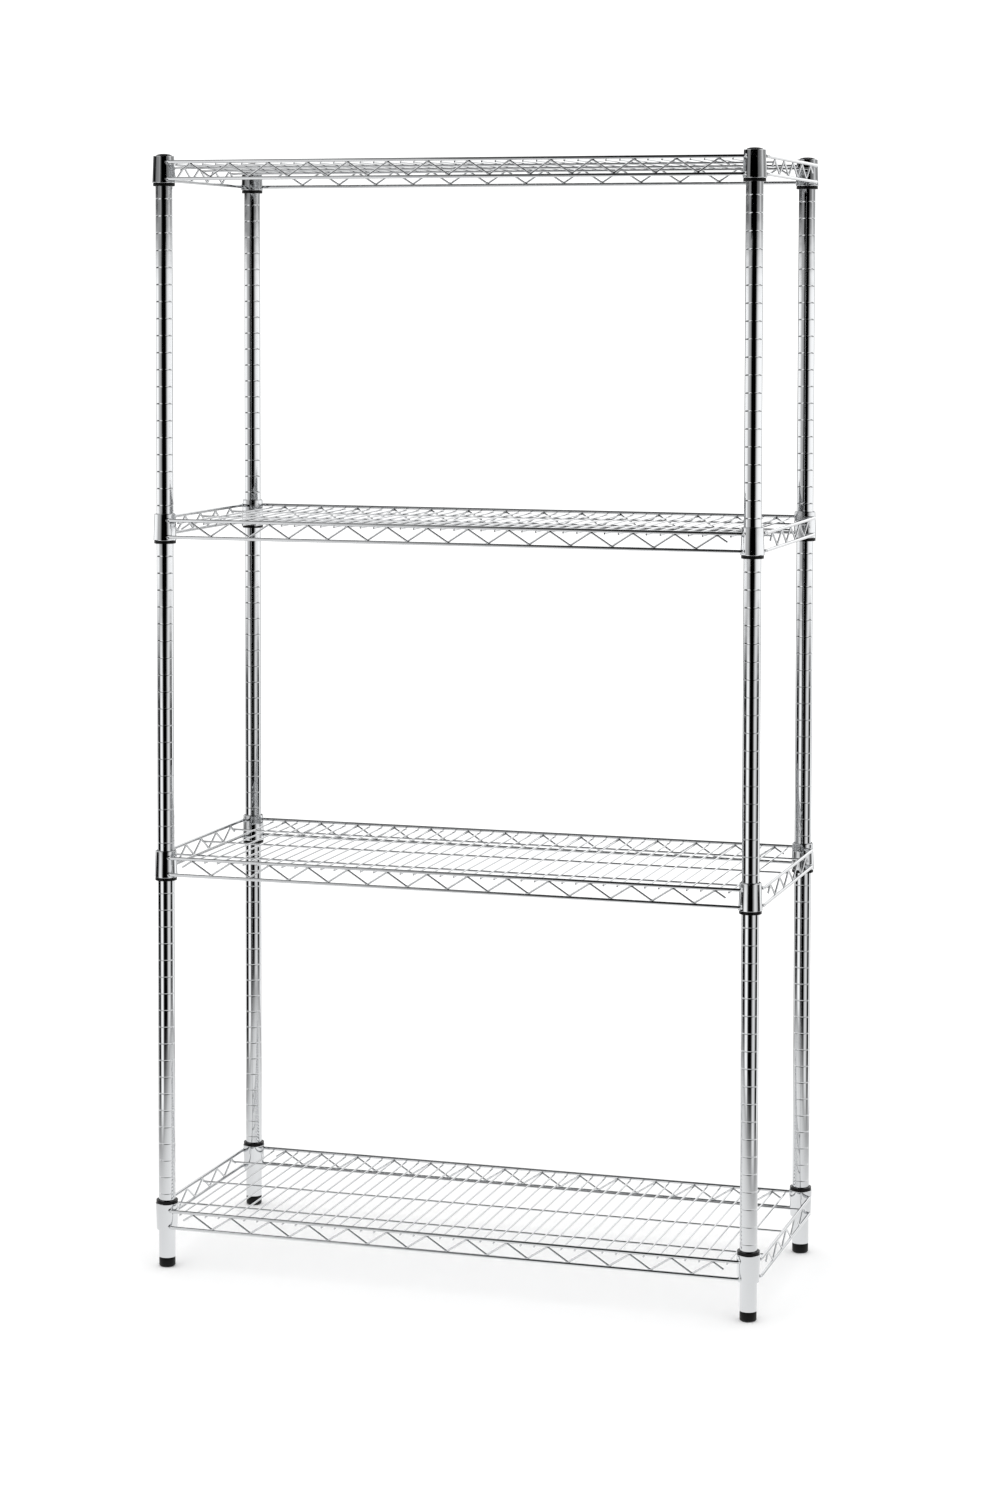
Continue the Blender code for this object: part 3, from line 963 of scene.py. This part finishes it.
def build_posts(materials):
    """The posts with their caps, feet and inserts."""
    post = post_mesh(materials["post_chrome"])
    cap = cap_mesh(materials["cap_plastic"])
    foot = foot_mesh(materials["foot_plastic"])
    insert = insert_mesh(materials["insert_plastic"])
    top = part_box("post_front_left")[1].z
    for name in CORNERS:
        x, y = corner_of(name)
        add_piece("post_" + name, post, (x, y, 0))
        add_piece("cap_" + name, cap, (x, y, top + CLEARANCE))
        add_piece("foot_" + name, foot, (x, y, 0))
        add_piece("insert_" + name, insert, (x, y, 0))


def build_shelves(materials):
    """The shelves with their sleeves. The lowest shelf's are the other way up."""
    chrome = materials["shelf_chrome"]
    post_x, post_y = corner_of("back_right")
    sleeve = sleeve_mesh(materials["sleeve_plastic"])
    deck = deck_mesh(post_x, post_y, chrome)
    sets = {}
    for flipped in (True, False):
        sets[flipped] = {
            "front": truss_mesh(post_x, flipped, -1, chrome),
            "back": truss_mesh(post_x, flipped, 1, chrome),
            "end": end_mesh(post_x, post_y, flipped, chrome),
        }
    front = post_y + FRONT_OFFSET
    for number in SHELVES:
        flipped = number == 1
        name = f"shelf_{number}_"
        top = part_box(name + "right_end")[1].z
        add_piece(name + "deck", deck, (0, 0, top))
        add_piece(name + "front_truss", sets[flipped]["front"], (0, -front, top))
        add_piece(name + "back_truss", sets[flipped]["back"], (0, front, top))
        add_piece(name + "right_end", sets[flipped]["end"], (0, 0, top))
        add_piece(name + "left_end", sets[flipped]["end"], (0, 0, top), (0, 0, math.pi))
        for corner in CORNERS:
            x, y = corner_of(corner)
            low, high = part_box(f"sleeve_{number}_{corner}")
            lip = high.z - LIP_HEIGHT / 2 if flipped else low.z + LIP_HEIGHT / 2
            turn = (0, math.pi, 0) if flipped else (0, 0, 0)
            add_piece(f"sleeve_{number}_{corner}", sleeve, (x, y, lip), turn)


body_of = {}
for body, nodes in frame["record"]["behaviour"]["bodies"].items():
    for node_name in nodes:
        body_of[node_name] = body

bpy.context.scene.view_settings.view_transform = "Standard"
build_camera()
build_studio()
build_floor()
finishes = {
    "post_chrome": chrome_material(
        "Post chrome", smooth=0.035, hazy=0.11, scratch_stretch=(1, 1, 0.03), ripple=0.10
    ),
    "shelf_chrome": chrome_material(
        "Shelf chrome", smooth=0.05, hazy=0.14, scratch_stretch=(1, 1, 1), ripple=0.12
    ),
    "sleeve_plastic": plastic_material(
        "Sleeve plastic", shade=0.0020, roughness=0.24, grain=0.15, scuff_shade=0.0060
    ),
    "cap_plastic": plastic_material(
        "Cap plastic", shade=0.0025, roughness=0.34, grain=0.25, scuff_shade=0.0070
    ),
    "foot_plastic": plastic_material(
        "Foot plastic", shade=0.0025, roughness=0.42, grain=0.35, scuff_shade=0.0110
    ),
    "insert_plastic": plastic_material(
        "Insert plastic", shade=0.0100, roughness=0.50, grain=0.30, scuff_shade=0.0200
    ),
}
build_posts(finishes)
build_shelves(finishes)
